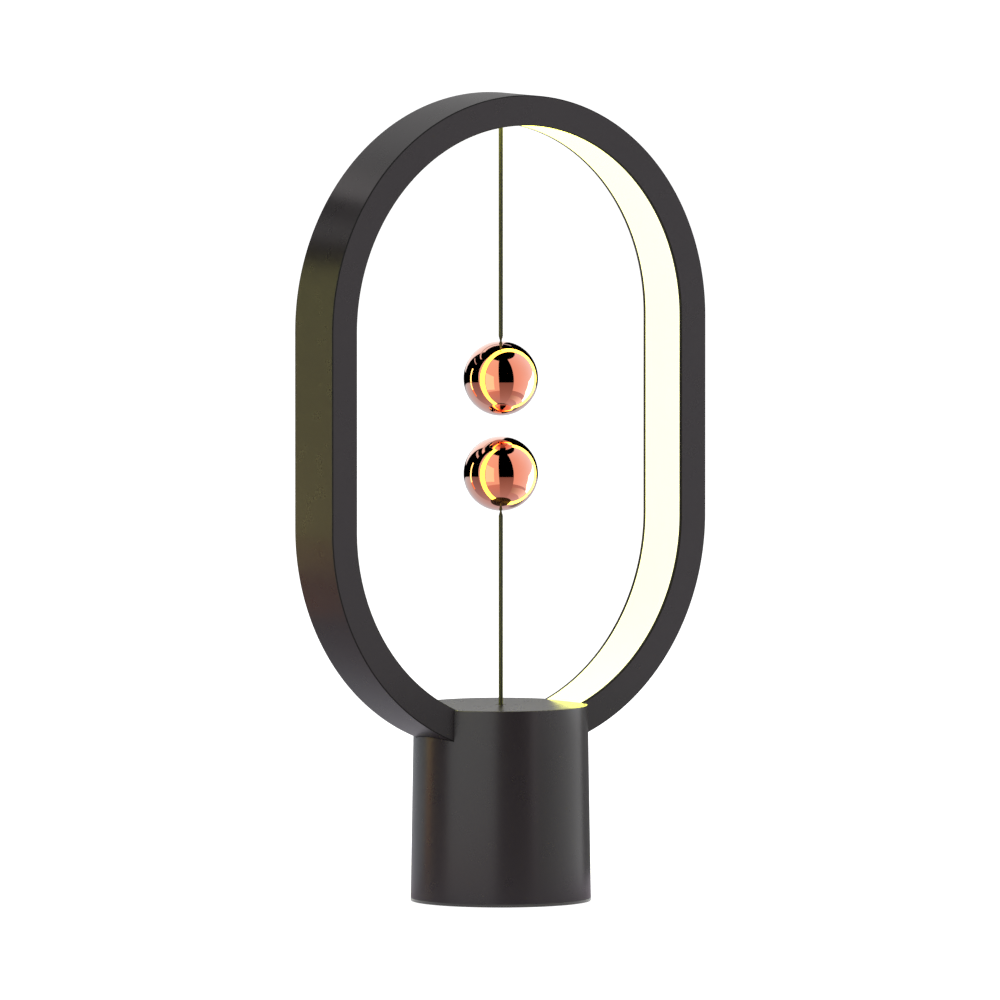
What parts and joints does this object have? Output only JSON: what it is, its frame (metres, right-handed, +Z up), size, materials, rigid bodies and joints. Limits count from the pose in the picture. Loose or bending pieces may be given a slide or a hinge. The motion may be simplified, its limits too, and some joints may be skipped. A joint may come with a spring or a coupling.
{
  "type": "magnetic balance lamp",
  "caption": "Table lamp with an upright oval light frame on a round base, switched on by lifting a ball on a string towards a magnet ball that hangs above it.",
  "frame": {"origin": "middle of the foot pad's underside, where the lamp stands", "axes": "+Z up; +X to the right along the oval frame; -Y to the front, +Y to the back where the supply socket is"},
  "size_m": [0.142, 0.0558, 0.25],
  "materials": {
    "frame_metal": "satin charcoal paint",
    "base_plastic": "satin charcoal",
    "inner_plastic": "fine spark-eroded black",
    "diffuser_plastic": "milky, lit from behind",
    "strip_film": "white film",
    "emitter": "yellow phosphor",
    "ball_plating": "rose gold mirror plating",
    "magnet_metal": "nickel plating",
    "string_fibre": "braided dark olive cord",
    "brass": "turned brass",
    "screw_steel": "zinc plating",
    "spring_steel": "drawn wire",
    "slider_plastic": "natural acetal",
    "board_laminate": "green solder mask",
    "chip_plastic": "moulded black",
    "coil_ferrite": "grey ferrite",
    "can_metal": "drawn can",
    "wire_jacket": "red insulation",
    "ballast_steel": "oiled steel",
    "foot_rubber": "matt rubber"
  },
  "bodies": {
    "lamp": {"frame_channel": "frame_metal", "diffuser": "diffuser_plastic", "led_strip": "strip_film", "leds": "emitter", "string_anchor": "brass", "string_eyelet": "inner_plastic", "base_shell": "base_plastic", "base_lid": "base_plastic", "lid_screws": "screw_steel", "frame_saddle": "inner_plastic", "frame_screws": "screw_steel", "frame_nuts": "screw_steel", "switch_guide": "slider_plastic", "guide_screws": "screw_steel", "return_spring": "spring_steel", "contact_leaves": "brass", "driver_board": "board_laminate", "board_screws": "screw_steel", "driver_chip": "chip_plastic", "inductor": "coil_ferrite", "capacitors": "can_metal", "usb_socket": "magnet_metal", "led_leads": "wire_jacket", "ballast": "ballast_steel", "bottom_cover": "inner_plastic", "bottom_screws": "screw_steel", "foot_pad": "foot_rubber"},
    "upper_hanger": {"upper_string_bead": "string_fibre"},
    "upper_pendulum": {"upper_string": "string_fibre", "upper_ball": "ball_plating", "upper_ball_cap": "ball_plating", "upper_magnet": "magnet_metal"},
    "plunger": {"switch_plunger": "slider_plastic", "contact_bridge": "brass", "lower_string": "string_fibre"},
    "lower_ball": {"lower_ball": "ball_plating", "lower_ball_cap": "ball_plating", "lower_magnet": "magnet_metal"}
  },
  "joints": [
    {"name": "upper_swing_forward", "type": "hinge", "parent": "lamp", "child": "upper_hanger", "pos_m": [0, 0, 0.2415], "axis": [1, 0, 0], "range_deg": [-60, 60]},
    {"name": "upper_swing_sideways", "type": "hinge", "parent": "upper_hanger", "child": "upper_pendulum", "pos_m": [0, 0, 0.2415], "axis": [0, 1, 0], "range_deg": [-38, 38]},
    {"name": "switch_pull", "type": "slide", "parent": "lamp", "child": "plunger", "axis": [0, 0, 1], "range_m": [-0.002, 0], "stiffness_N_per_m": 60, "springref_m": -0.004, "deforming": ["return_spring"]},
    {"name": "lower_ball_drop", "type": "slide", "parent": "plunger", "child": "lower_ball", "axis": [0, 0, 1], "range_m": [-0.0578, 0], "deforming": ["lower_string"]}
  ]
}
